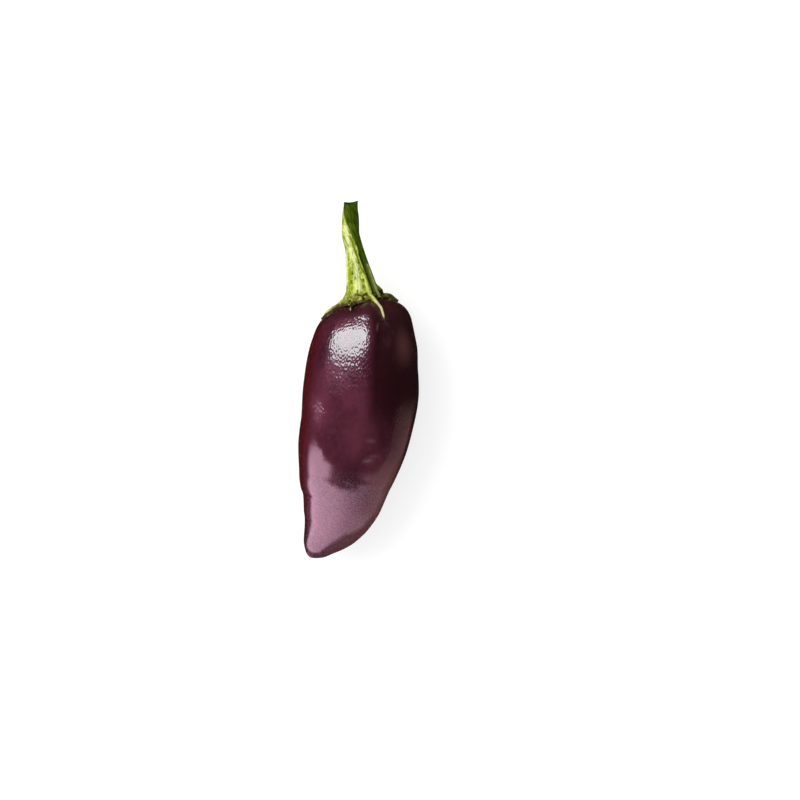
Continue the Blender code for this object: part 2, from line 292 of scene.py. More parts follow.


# Pale scuffs in the skin and painted glints, the last a painted reflection along the front furrow's edge,
# as short arcs: middle x and y in millimetres, radius, start, sweep, width, strength.
SCUFFS_AND_GLINTS = (
    (1.7, -17.2, 4.6, 258.0, 50.0, 0.3, 0.5),
    (4.6, -24.6, 4.2, 65.0, 60.0, 0.3, 0.2),
    (0.6, -22.6, 4.4, 280.0, 40.0, 0.6, 0.25),
    (3.4, -26.6, 5.0, 70.0, 50.0, 0.9, 0.2),
    (-3.6, -31.4, 3.8, 40.0, 60.0, 0.3, 0.25),
    (0.2, -32.5, 3.9, 50.0, 50.0, 0.3, 0.3),
    (-5.6, -31.2, 2.6, 0.0, 140.0, 0.5, 0.15),
    (3.6, -12.4, 4.0, 240.0, 60.0, 0.6, 0.2),
    (18.4, 12.4, 13.2, 166.0, 14.0, 0.22, 0.45),
)


def scuffed(points):
    """Scuffs and painted glints on the upper side: a bell across each arc, fading to its ends."""
    marked = np.zeros(points.shape[:-1])
    for x, y, radius, start, sweep, width, strength in SCUFFS_AND_GLINTS:
        east, north = points[..., 0] - x, points[..., 1] - y
        across = (np.hypot(east, north) - radius) / width
        turned = np.degrees(angle_between(np.arctan2(north, east), math.radians(start + sweep / 2)))
        ends = 1.0 - smooth_between(0.05 * sweep, 0.5 * sweep, np.abs(turned))
        marked = np.maximum(marked, strength * np.exp(-(across**2)) * ends)
    return marked * (points[..., 2] > 0)


pod_around = np.linspace(-math.pi, math.pi, POD_AROUND + 1)[:-1][None, :]
pod_along = pod_rows()[1:-1, None]
plain_rings = pod_point(pod_along, pod_around)
pod_ends = pod_point(np.array([0.0, 1.0]), np.zeros(2))

# The model stands on its flat, with its origin under the middle of its box, so the spines are moved there.
model_low, model_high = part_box("pod")
model_middle = (np.array(model_low[:2]) + np.array(model_high[:2])) / 2 / MM
grid_middle = (plain_rings[..., :2].min(axis=(0, 1)) + plain_rings[..., :2].max(axis=(0, 1))) / 2
lowest = plain_rings[..., 2].min() + FLAT_DEPTH
shift = np.array([*(model_middle - grid_middle), -lowest])

pod_rings = plain_rings + outward(plain_rings) * pod_relief(plain_rings, pod_along, pod_around)[..., None]
pod_rings[..., 2] = np.maximum(pod_rings[..., 2], lowest)

# How far each part of the skin has gone to its mark's colour, and how frosted, pitted or bloomy it is. Some
# marks are painted shade and painted sheen, as said at each. flank goes from -1 at the left edge to 1 at
# the right one, on the top and underneath alike.
flank = np.sin(pod_around) + 0.0 * pod_along
shoulder = np.hypot((flank - 0.76) / 0.13, (pod_along - 0.17) / 0.055)
lower_half = smooth_between(0.36, 0.55, pod_along) + 0.0 * flank
pod_marks = {
    # Painted shade: the left edge is darkened to maroon.
    "maroon": smooth_between(-0.68, -0.93, flank),
    # Painted shade: the right side below the crown is near black.
    "black": smooth_between(0.1, 0.3, flank)
    * smooth_between(0.54, 0.36, pod_along)
    * smooth_between(0.02, 0.1, pod_along),
    "olive": smooth_between(0.3, 0.9, flank) * smooth_between(0.5, 0.68, pod_along),
    # Painted reflection: a faint glow on the right shoulder.
    "faded": 0.6 * np.exp(-(shoulder**2)),
    "brown": 0.8 * smooth_between(0.14, 0.04, pod_along) + 0.0 * flank,
    # Partly a frosted wax bloom, partly a painted sheen: pale specks towards the tip.
    "frosted": smooth_between(0.6, 0.72, pod_along) * smooth_between(-0.95, -0.6, flank),
    # Painted shade: dark patches in the middle and down to the blossom end.
    "dusky": 0.95 * np.exp(-((np.abs(flank - 0.1) / 0.26) ** 3) - (np.abs(pod_along - 0.65) / 0.075) ** 3)
    + 0.5 * smooth_between(0.88, 0.97, pod_along)
    + 0.6 * bell_at(flank, -0.75, 0.3) * smooth_between(0.82, 0.9, pod_along),
    # Painted sheen: two paler rosy patches down the middle.
    "rosy": 0.5 * bell_at(flank, -0.6, 0.2) * bell_at(pod_along, 0.43, 0.09)
    + 0.5 * bell_at(flank, 0.05, 0.3) * bell_at(pod_along, 0.49, 0.1),
    # Partly real scuffs, partly painted glints.
    "scuffed": 0.6 * scuffed(plain_rings),
    "scar": smooth_between(0.985, 1.0, pod_along) + 0.0 * flank,
    "pitted": 1.0 - 0.88 * lower_half,
    "bloomy": 0.15 + 0.85 * lower_half,
}
# Colours of the marks: those of the shaded marks are painted shade, the glow, sheen and glints painted
# reflections.
MARK_COLOURS = {
    "maroon": "#38070b",
    "black": "#21080d",
    "olive": "#5a3230",
    "faded": "#5a3534",
    "brown": "#2e1413",
    "dusky": "#260912",
    "rosy": "#5c2a3a",
    "scuffed": "#a07a86",
    "scar": "#8a6a60",
}
pod_skin = closed_skin("pod_skin", pod_rings + shift, *(pod_ends + shift), pod_marks)


def linear(colour):
    """An sRGB hex colour as linear red, green and blue: the sRGB curve undone, with alpha 1."""
    parts = [int(colour[k : k + 2], 16) / 255.0 for k in (1, 3, 5)]
    return (*[c / 12.92 if c <= 0.04045 else ((c + 0.055) / 1.055) ** 2.4 for c in parts], 1.0)


def fill(tree, node, **inputs):
    """Gives each named input of a node a number, a hex colour, or a link from a socket.

    An input's name is the socket's, in lower case with _ for each space, or in_0, in_1 by its number.
    """
    for name, value in inputs.items():
        if name.startswith("in_"):
            socket = node.inputs[int(name[3:])]
        else:
            socket = next(s for s in node.inputs if s.name.lower().replace(" ", "_") == name and s.enabled)
        if isinstance(value, bpy.types.NodeSocket):
            tree.links.new(value, socket)
        else:
            socket.default_value = linear(value) if isinstance(value, str) else value


def add(tree, kind, settings=None, gives=None, **inputs):
    """Adds a node of a kind with its settings, fills its inputs, and returns the output that it gives.

    A colour ramp's stops, each a place and a hex colour, are one of the settings. Where gives names no
    output, it is the first one in use.
    """
    made = tree.nodes.new(kind)
    for name, value in (settings or {}).items():
        if name == "stops":
            for number, (place, colour) in enumerate(value):
                elements = made.color_ramp.elements
                element = elements[number] if number < len(elements) else elements.new(place)
                element.position = place
                element.color = linear(colour)
        else:
            setattr(made, name, value)
    fill(tree, made, **inputs)
    return next(s for s in made.outputs if s.enabled and gives in (None, s.name))


# Settings of the nodes that mix two colours, multiply two numbers, and turn a number into an S curve.
MIX = {"data_type": "RGBA"}
TIMES = {"operation": "MULTIPLY"}
SMOOTH = {"interpolation_type": "SMOOTHSTEP"}


def blank_material(name):
    """A new material, its node tree, and the Principled shader that is wired to its output."""
    made = bpy.data.materials.new(name)
    made.use_nodes = True
    tree = made.node_tree
    return made, tree, tree.nodes["Principled BSDF"]


def ripe_skin():
    """Pepper skin: plum pigment under a clear waxy cuticle, which gives sharp lights with a pitted edge."""
    made, tree, shader = blank_material("pepper_skin_waxy_cuticle")
    place = add(tree, "ShaderNodeTexCoord", gives="Object")
    mark = {name: add(tree, "ShaderNodeAttribute", {"attribute_name": name}, "Fac") for name in pod_marks}

    # Blotches of pigment about 6 mm across and drawn out along the pod, and a finer mottle of about 1.2 mm.
    drawn = add(tree, "ShaderNodeMapping", vector=place, scale=(1.0, 0.6, 1.0))
    blotch = add(tree, "ShaderNodeTexNoise", vector=drawn, scale=1 / (6 * MM), detail=3.0)
    mottle = add(tree, "ShaderNodeTexNoise", vector=place, scale=1 / (1.2 * MM), detail=2.0)
    specks = add(tree, "ShaderNodeTexNoise", vector=place, scale=1 / (0.36 * MM), detail=1.0)

    stops = [(0.34, "#2f0e1a"), (0.5, "#3c1522"), (0.64, "#4c1f2e")]
    plum = add(tree, "ShaderNodeValToRGB", {"stops": stops}, fac=blotch)
    mottled = add(tree, "ShaderNodeMapRange", SMOOTH, value=mottle, from_min=0.4, from_max=0.7, to_max=0.35)
    plum = add(tree, "ShaderNodeMix", MIX, factor=mottled, a=plum, b="#4e2632")
    # The marks' colours go on in turn, painted shade and painted sheen among them.
    for name, colour in MARK_COLOURS.items():
        plum = add(tree, "ShaderNodeMix", MIX, factor=mark[name], a=plum, b=colour)
    # Pale lilac specks where the skin is frosted: partly its wax bloom, partly a painted sheen.
    grain = add(tree, "ShaderNodeMapRange", SMOOTH, value=specks, from_min=0.4, from_max=0.65, to_max=0.22)
    grain = add(tree, "ShaderNodeMath", TIMES, in_0=mark["frosted"], in_1=grain)
    plum = add(tree, "ShaderNodeMix", MIX, factor=grain, a=plum, b="#a97f97")

    # Pits of the cuticle, 0.4 mm apart and longer down the pod, over an uneven peel of 1.4 mm, break up the
    # edge of each light. They fade on the lower half, where a bloom of 0.17 mm blurs the lights instead.
    pitted, bloomy = mark["pitted"], mark["bloomy"]
    long_pits = add(tree, "ShaderNodeMapping", vector=place, scale=(1.0, 0.5, 1.0))
    pits = add(tree, "ShaderNodeTexNoise", vector=long_pits, scale=1 / (0.4 * MM), detail=0.0)
    peel = add(tree, "ShaderNodeTexNoise", vector=place, scale=1 / (1.4 * MM), detail=1.0)
    bloom = add(tree, "ShaderNodeTexNoise", vector=place, scale=1 / (0.17 * MM), detail=0.0)
    skin = add(tree, "ShaderNodeBump", strength=pitted, distance=0.013 * MM, height=peel)
    skin = add(tree, "ShaderNodeBump", strength=pitted, distance=0.068 * MM, height=pits, normal=skin)
    skin = add(tree, "ShaderNodeBump", strength=bloomy, distance=0.004 * MM, height=bloom, normal=skin)
    fill(tree, shader, base_color=plum, normal=skin, coat_normal=skin)
    fill(tree, shader, roughness=0.45, specular_ior_level=0.05, coat_weight=1.0, coat_roughness=0.04)
    return made


pod_skin.data.materials.append(ripe_skin())
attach(pod_skin, "root")
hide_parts("pod")

# The stalk and calyx
# The green stalk the pepper was picked by, ribbed and turning as it climbs, and cut with shears. Its foot
# spreads into the calyx, a wrinkled collar that grips the crown with pointed teeth, each with a rib up the
# stalk. All of it grew as one piece of fibrous flesh, with a little cork on the collar, whose sides are
# darker. Painted light and shade colour it too: a bright face, a dark side, and near black in the furrow,
# the holes and the creases.

# Points of the stalk's spine from its foot to the cut, and its half width at them, in millimetres.
STALK_SPINE = np.array(
    [
        (1.4, 21.4, -1.5),
        (0.75, 26.0, -2.1),
        (-0.25, 31.2, -2.6),
        (-1.0, 35.6, -2.6),
        (-2.1, 40.0, -2.1),
        (-2.05, 44.0, -1.2),
        (-1.9, 48.1, 0.0),
    ]
)
STALK_HALF_WIDTH = np.array([4.6, 3.8, 3.0, 2.45, 2.45, 2.15, 1.85])

# The cut: the depth of its bowl, its edge's slant and dip, and the share of the stalk over which they fade.
CUT_HOLLOW = 0.7
CUT_SLANT = 0.25
CUT_DIP = 0.55
CUT_REACH = 0.33

# Each tooth's angle from the top, its tip's reach over the crown, its half angle and its tip's lift.
TEETH = (
    (-84.0, 12.5, 18.0, 0.8),
    (-17.0, 12.3, 8.0, 0.1),
    (26.0, 15.2, 9.0, 0.25),
    (80.0, 9.8, 13.0, 0.3),
    (148.0, 12.6, 20.0, 0.2),
    (213.0, 12.0, 20.0, 0.1),
)

# A tooth tapers by a power. Between the teeth the rim has one reach, less a bell about the angle where it is
# drawn in, and waves run along the edge, each with its count, its start and its size.
TOOTH_TAPER = 3.8
CALYX_RIM_REACH = 8.6
RIM_DRAWN_IN = 2.2
DRAWN_IN_ANGLE = 55.0
DRAWN_IN_HALF_ANGLE = 62.0
EDGE_WAVES = ((11.0, 1.0, 0.14), (17.0, 2.3, 0.1))

# The height of the collar's top over the skin, the share that a tooth's ridge adds, the height at the
# longest tip, the share that is lost at the edge and over what length, and the bulge of the rounded edge.
CALYX_TOP = 1.0
TOOTH_RIDGE = 0.21
TIP_TOP = 0.75
EDGE_DROP = 0.5
EDGE_SLOPE = 2.6
EDGE_BULGE = 0.12

# The flare leaves the stalk at a length above its foot and ends at a share of the rim's reach. Its ends pull
# by a share of the distance between them, and it swells at one shoulder, as the collar does.
FLARE_START = 4.4
FLARE_SHARE = 0.84
FLARE_PULL = 1.25
FLARE_SWELL = 1.0
SHOULDER_ANGLE = 88.0
SHOULDER_HALF_ANGLE = 36.0
SHOULDER_SWELL = 0.7

# A rib's rise and the groove between ribs as shares of the radius, a rib's half angle, and the ribs' turn.
RIB_RISE = 0.1
RIB_GROOVE = 0.035
RIB_HALF_ANGLE = 12.0
RIB_TWIST = 105.0

# The collar's seat is looked for along this share of the pod, and its underside closes at a small reach.
SEAT_SHARE = 0.35
SEAT_STEPS = 400
POLE_REACH = 0.3

# The edge between the bright face and the dark side, painted light and painted shade, runs down the stalk
# through these points, x and y.
FACE_EDGE = (
    (-4.05, 47.7),
    (-3.78, 44.7),
    (-3.1, 42.0),
    (-2.16, 40.1),
    (-1.27, 38.2),
    (-0.27, 36.0),
    (0.68, 33.3),
    (1.76, 30.5),
    (2.65, 28.2),
    (3.29, 26.3),
    (3.86, 24.7),
    (4.46, 23.1),
    (5.4, 21.7),
    (6.08, 20.7),
)

# A seam runs down the bright face through these.
SEAM = ((-2.16, 38.7), (-1.49, 36.9), (-0.68, 34.7), (0.14, 32.3), (0.81, 30.6), (1.62, 29.0))

# Strokes that carve and colour the upper side: what each is, its half width and its height in millimetres,
# and its path in x and y. A stroke has faded to a third at its half width. The furrow keeps to the edge.
# The pale strokes are partly a paler rib and partly a painted highlight, the lit streak is a painted
# highlight on its ridge, and the near black of the furrow and the holes is painted shade.
STROKES = (
    # Partly a paler rib, partly a painted highlight.
    ("pale", 0.6, 0.06, ((-3.5, 41.3), (-2.67, 37.9), (-2.0, 35.2), (-1.3, 32.5), (-0.6, 30.1))),
    ("pale", 0.8, 0.06, ((-0.6, 30.1), (-0.1, 27.4), (0.2, 24.7))),
    ("pale", 0.35, 0.0, ((-3.29, 34.9), (-3.16, 31.7), (-3.16, 29.0), (-3.24, 26.0))),
    ("sap", 0.5, -0.1, ((-2.16, 30.1), (-2.16, 27.9), (-2.3, 25.2), (-2.57, 22.8))),
    ("seam", 0.24, -0.12, SEAM),
    ("pore", 0.32, -0.1, ((-1.62, 28.5), (-1.52, 28.8))),
    ("pore", 0.26, -0.1, ((-1.86, 26.5), (-1.78, 26.7))),
    ("pore", 0.32, -0.1, ((0.1, 31.6), (0.16, 31.8))),
    ("pore", 0.24, -0.1, ((0.24, 29.7), (0.3, 29.9))),
    ("pore", 0.26, -0.1, ((-0.8, 27.3), (-0.74, 27.6))),
    ("pore", 0.24, -0.1, ((1.45, 26.9), (1.52, 27.2))),
    ("pore", 0.32, -0.1, ((1.46, 24.9), (1.52, 25.3))),
    ("pore", 0.26, -0.1, ((-0.14, 23.8), (-0.1, 24.0))),
    # Painted highlight: a lit ridge line beside the furrow.
    ("streak", 0.22, 0.1, ((2.5, 31.2), (3.1, 29.5), (3.65, 27.9), (4.4, 25.8), (5.1, 24.2), (5.8, 22.9))),
    ("ridge", 0.4, 0.22, ((2.3, 25.9), (2.6, 25.1), (3.0, 24.1), (3.5, 22.95), (4.19, 22.0), (4.86, 21.1))),
    ("tooth", 0.3, 0.12, ((4.86, 21.1), (5.67, 20.0), (6.35, 19.2), (6.6, 18.2), (7.0, 16.9))),
    ("tooth", 0.2, 0.1, ((-2.3, 20.1), (-1.97, 18.6))),
    # Painted shade: the furrow is coloured near black.
    ("furrow", 0.34, -0.35, ((0.4, 34.1), *FACE_EDGE[7:12])),
    ("furrow", 0.4, -0.3, FACE_EDGE[11:]),
    ("lump", 0.42, 0.22, ((-3.3, 22.3), (-3.2, 21.7))),
    ("lump", 0.5, 0.25, ((-1.0, 22.2), (-0.6, 22.1))),
    ("lump", 0.36, 0.18, ((-1.6, 21.4), (-1.4, 21.1))),
    ("lump", 0.4, 0.22, ((0.7, 22.1), (0.95, 21.9))),
    # Painted shade: the holes are coloured near black.
    ("hole", 0.36, -0.28, ((0.14, 23.0), (1.2, 22.8), (2.43, 23.0))),
    ("hole", 0.32, -0.25, ((-2.45, 21.3), (-2.1, 21.1))),
    ("hole", 0.3, -0.25, ((1.5, 21.9), (1.75, 21.8))),
    ("hole", 0.3, -0.2, ((-0.8, 20.9), (-0.5, 20.7))),
    ("cork", 0.3, 0.08, ((0.0, 20.9), (0.81, 20.8), (1.89, 20.8))),
    ("sunlit", 0.26, 0.05, ((-4.05, 21.7), (-5.4, 20.7), (-6.75, 19.7), (-8.1, 18.6), (-9.3, 17.9))),
)
STROKE_COLOURS = {
    "pale": "#d3d99a",
    "sap": "#74840a",
    "seam": "#4a5a08",
    "pore": "#252e03",
    "streak": "#a9b36c",
    "ridge": "#b9c062",
    "tooth": "#d3cf9c",
    # Painted shade in the furrow and the holes.
    "furrow": "#161e00",
    "lump": "#a3a54a",
    "hole": "#2a2404",
    "cork": "#6f5d42",
    "sunlit": "#c4be82",
}

# Wrinkles and knobs cover the collar all round, in millimetres. A wrinkle lies where one of two waves is
# near 0, and each wave has its length as a multiple, its seed and its weight. The collar is darker at two
# sides, each an angle from the top and a half angle.
WRINKLE_LENGTH = 1.9
WRINKLE_HEIGHT = 0.3
WRINKLE_WAVES = ((2.0, 21, 1.2), (2.6, 34, 1.5))
WRINKLE_LIMIT = 0.28
KNOB_LENGTH = 1.7
KNOB_HEIGHT = 0.16
DARKER_SIDES = ((84.0, 50.0), (-90.0, 38.0))
SUNK_BELOW_SKIN = 0.15

# Points round the stalk and calyx, how much they crowd to the tips, and rings over each stretch.
CALYX_AROUND = 520
TIP_CROWDING = 0.8
CUT_ROWS = 12
STALK_ROWS = 84
FLARE_ROWS = 30
TOOTH_ROWS = 28
EDGE_ROWS = 7
UNDERSIDE_ROWS = 8


def calyx_seat(reach, around):
    """The pod's skin at a reach over the crown from its middle, the way out of it and the way down it.

    The reach is measured along each meridian of the pod, by adding up short steps.
    """
    shares = np.linspace(0.0, SEAT_SHARE, SEAT_STEPS)
    meridians = pod_point(shares[:, None], around[None, :])
    steps = np.linalg.norm(np.diff(meridians, axis=0), axis=-1)
    arc = np.concatenate([np.zeros((1, len(around))), np.cumsum(steps, axis=0)])
    along = np.stack([np.interp(reach[:, k], arc[:, k], shares) for k in range(len(around))], axis=1)
    small = 2e-4
    above, below = np.maximum(along - small, 0.0), along + small
    down = unit(pod_point(below, around[None, :]) - pod_point(above, around[None, :]))
    sideways = pod_point(below, around[None, :] + small) - pod_point(below, around[None, :] - small)
    return pod_point(along, around[None, :]), unit(np.cross(down, sideways)), down


def calyx_rim(around):
    """Reach of the calyx between its teeth: a number, less a bell where the rim is drawn in."""
    return CALYX_RIM_REACH - RIM_DRAWN_IN * bell(around, DRAWN_IN_ANGLE, DRAWN_IN_HALF_ANGLE)


def calyx_edge(around):
    """Reach of the calyx's edge at each angle, how near a tooth's middle it is, and its tip's lift.

    The reach is the rim's with two cosines that make it uneven, and a tooth adds its share from root to
    middle, to the power that tapers it.
    """
    rim = calyx_rim(around)
    reach = rim + sum(size * np.cos(count * around + start) for count, start, size in EDGE_WAVES)
    crest = np.zeros_like(around)
    lift = np.zeros_like(around)
    for angle, tip, half_angle, rise in TEETH:
        off = np.abs(angle_between(around, math.radians(angle))) / math.radians(half_angle)
        share = np.clip(1.0 - off, 0.0, 1.0)
        reach = reach + (tip - rim) * share**TOOTH_TAPER
        crest = np.maximum(crest, share)
        lift = lift + rise * share
    return reach, crest, lift


def calyx_angles():
    """Angles about the calyx, with one on each tooth's tip and the others crowding towards the tips."""
    tips = [tooth[0] for tooth in TEETH]
    angles = []
    for tip, following in zip(tips, tips[1:] + [tips[0] + 360.0]):
        count = round(CALYX_AROUND * (following - tip) / 360.0)
        share = np.arange(count) / count
        share = share - TIP_CROWDING * np.sin(2 * math.pi * share) / (2 * math.pi)
        angles.append(tip + (following - tip) * share)
    return np.radians(np.concatenate(angles))


def rib_turn(height):
    """How far the ribs have turned about the stalk at a height: the full turn times the height cubed."""
    return math.radians(RIB_TWIST) * height**3


def stalk_point(height, around):
    """The spine's point plus the radius at the angle, less by a groove and more by a bell on each rib."""
    knots, _ = knots_along(STALK_SPINE)
    centre, side, up = frame_along(STALK_SPINE, height, -1)
    own = around + rib_turn(height)
    ribs = sum(bell(own, tooth[0], RIB_HALF_ANGLE, 1.5) for tooth in TEETH)
    radius = through(knots, STALK_HALF_WIDTH, height) * (1.0 - RIB_GROOVE + RIB_RISE * ribs)
    return centre + side * (radius * np.sin(around))[..., None] + up * (radius * np.cos(around))[..., None]


def stalk_rows(around):
    """Rows over the cut, as a shallow bowl, and down the stalk, and the middle of the cut."""
    _, length = knots_along(STALK_SPINE)
    top, side, up = frame_along(STALK_SPINE, np.array([1.0]), -1)
    ahead = np.cross(up, side)
    rim = stalk_point(1.0, around)
    unevenness = ahead * (CUT_SLANT * np.sin(around) - CUT_DIP * np.cos(around) ** 2)[:, None]
    rows = []
    for share in np.sin(np.arange(1, CUT_ROWS) / CUT_ROWS * math.pi / 2):
        hollow = ahead * CUT_HOLLOW * (1.0 - share**3)
        rows.append(top + (rim - top) * share - hollow + unevenness * share)
    heights = np.linspace(1.0, FLARE_START / length, STALK_ROWS + 1)
    for height in heights:
        nearness = max(0.0, 1.0 - (1.0 - height) / CUT_REACH)
        rows.append(stalk_point(height, around) + unevenness * nearness)
    return rows, top[0] - ahead[0] * CUT_HOLLOW


def calyx_height(around, crest):
    """Height of the calyx's top over the skin: more on each tooth's ridge, and by a bell at the shoulder."""
    swell = SHOULDER_SWELL * bell(around, SHOULDER_ANGLE, SHOULDER_HALF_ANGLE)
    return CALYX_TOP * (1.0 + TOOTH_RIDGE * crest) + swell


def flare_rows(around, crest, start):
    """Cubics from the stalk's foot over the crown, tangent to both, with a sine squared at the shoulder."""
    _, length = knots_along(STALK_SPINE)
    foot, _, _ = frame_along(STALK_SPINE, np.array([FLARE_START / length]), -1)
    swell = unit(start - foot) * FLARE_SWELL * bell(around, SHOULDER_ANGLE, SHOULDER_HALF_ANGLE)[:, None]
    just_below = FLARE_START / length - 0.02
    lower = stalk_point(just_below, around)
    seat, out, down = calyx_seat(FLARE_SHARE * calyx_rim(around)[None, :], around)
    end = seat[0] + out[0] * calyx_height(around, crest)[:, None]
    pull = np.linalg.norm(end - start, axis=1, keepdims=True) * FLARE_PULL
    rows = []
    for u in np.arange(1, FLARE_ROWS + 1) / FLARE_ROWS:
        curve = joined_by_cubic(start, unit(lower - start) * pull, end, down[0] * pull, u)
        rows.append(curve + swell * math.sin(math.pi * u) ** 2)
    return rows


def calyx_rows(around, edge, crest, lift):
    """Rows down the teeth, round their edge in a quarter turn, and back up inside the pod's skin."""
    shares = np.linspace(0.0, 1.0, TOOTH_ROWS + 1)[1:]
    turns = np.linspace(0.0, math.pi / 2, EDGE_ROWS + 1)
    rim = calyx_rim(around)[None, :]
    reach = FLARE_SHARE * rim + (edge[None, :] - FLARE_SHARE * rim) * shares[:, None]
    seat, out, down = calyx_seat(reach, around)
    far = smooth_between(0.0, 1.0, (reach - rim) / (edge.max() - rim))
    thickness = calyx_height(around, crest)[None, :] * (1.0 - far) + TIP_TOP * far
    near_edge = smooth_between(EDGE_SLOPE, 0.0, edge[None, :] - reach)
    height = thickness * (1.0 - EDGE_DROP * near_edge) + lift[None, :] * far**2
    rows = list(seat + out * height[..., None])
    for turn in turns[1:]:
        sunk = height[-1] * math.cos(turn) - SUNK_BELOW_SKIN * math.sin(turn)
        rows.append(seat[-1] + out[-1] * sunk[:, None] + down[-1] * EDGE_BULGE * math.sin(2 * turn))
    shares = np.linspace(1.0, 0.0, UNDERSIDE_ROWS + 1)[1:-1]
    reach = edge[None, :] * shares[:, None]
    seat, out, _ = calyx_seat(reach, around)
    return rows + list(seat - out * SUNK_BELOW_SKIN)


def near_path(points, path, half_width):
    """exp(-(distance / half width)^2) from a path of x and y, seen from above."""
    nearest = np.full(points.shape[:-1], np.inf)
    for start, end in zip(np.array(path), np.array(path)[1:]):
        way = end - start
        share = np.clip((points[..., :2] - start) @ way / (way @ way), 0.0, 1.0)
        off = points[..., :2] - start - share[..., None] * way
        nearest = np.minimum(nearest, np.hypot(off[..., 0], off[..., 1]))
    return np.exp(-((nearest / half_width) ** 2))


def stroked(points, above):
    """The strokes' relief, the sum of height times bell, and each kind's mark, its strongest bell."""
    relief = np.zeros(points.shape[:-1])
    marks = {kind: np.zeros(points.shape[:-1]) for kind in STROKE_COLOURS}
    for kind, half_width, height, path in STROKES:
        stroke = near_path(points, path, half_width) * above
        relief = relief + height * stroke
        marks[kind] = np.maximum(marks[kind], stroke)
    return relief, marks


def collar_creases(rings, flared):
    """How creased the collar is: 1 along the lines where either of two slow waves crosses 0."""
    folds = []
    for multiple, seed, weight in WRINKLE_WAVES:
        folds.append(np.abs(waves(rings, WRINKLE_LENGTH * multiple, seed)) * weight)
    return np.exp(-((np.minimum(*folds) / WRINKLE_LIMIT) ** 2)) * smooth_between(0.4, 0.7, flared)


calyx_around = calyx_angles()
edge, crest, lift = calyx_edge(calyx_around)
rows, cut_middle = stalk_rows(calyx_around)
cut_rows = CUT_ROWS - 1
stalk_count = len(rows)
rows += flare_rows(calyx_around, crest, rows[-1])
flare_count = len(rows)
rows += calyx_rows(calyx_around, edge, crest, lift)
rings = np.array(rows)

# Marks for the relief and the colours. Each ring has its height up the stalk, from 1 at the cut to 0 at the
# foot, and then how far it has flared: 1 at the flare's end, and on to 2 at the edge of the teeth.
row_number = np.arange(len(rings))[:, None] + np.zeros((1, rings.shape[1]))
height = np.clip((stalk_count - 1 - row_number) / STALK_ROWS, 0.0, 1.0)
flared = np.clip((row_number - stalk_count + 1) / FLARE_ROWS, 0.0, 1.0)
flared = flared + np.clip((row_number - flare_count + 1) / TOOTH_ROWS, 0.0, 1.0)
crested = crest[None, :] + 0.0 * height
turned = calyx_around[None, :] + rib_turn(height)
above = smooth_between(-0.2, 0.2, np.cos(calyx_around)[None, :] + 0.0 * height)
strokes_relief, stroke_marks = stroked(rings, above)
open_teeth = smooth_between(1.6, 1.15, flared)
crease = collar_creases(rings, flared) * open_teeth
knobs = waves(rings, KNOB_LENGTH, seed=41) * smooth_between(0.45, 0.7, flared) * open_teeth
relief = strokes_relief + KNOB_HEIGHT * knobs - WRINKLE_HEIGHT * crease
below_cut = row_number >= cut_rows
plain_stalk = rings
rings = rings + outward(rings) * (relief * below_cut)[..., None]

edge_x, edge_y = np.array(FACE_EDGE[::-1]).T
past_edge = plain_stalk[..., 0] - np.interp(plain_stalk[..., 1], edge_y, edge_x)
# Painted shade: points right of the edge take the dark copy of the green.
shaded = smooth_between(-0.15, 0.15, past_edge)
sides = sum(bell(calyx_around, angle, half_angle) for angle, half_angle in DARKER_SIDES)
stalk_marks = {
    "height": height,
    "turned_x": np.cos(turned),
    "turned_y": np.sin(turned),
    "shaded": shaded,
    # The painted shade is lighter at the foot.
    "lowered": shaded * smooth_between(0.3, 0.08, height),
    "collar": smooth_between(0.35, 0.75, flared),
    "sides": sides[None, :] * smooth_between(0.3, 0.8, flared),
    "rim": smooth_between(1.45, 1.9, flared) * smooth_between(0.5, 0.2, crested),
    "tip": smooth_between(1.3, 1.6, flared) * smooth_between(0.6, 0.85, crested),
    # Painted shade darkens the collar's creases.
    "crease": crease,
    "cut": 1.0 - below_cut,
    **stroke_marks,
}
seat, _, _ = calyx_seat(np.full((1, 1), POLE_REACH), np.zeros(1))
poles = np.array([cut_middle, seat[0, 0] - np.array([0.0, SUNK_BELOW_SKIN, 0.0])]) + shift
stalk = closed_skin("stalk_and_calyx_skin", rings + shift, *poles, stalk_marks)


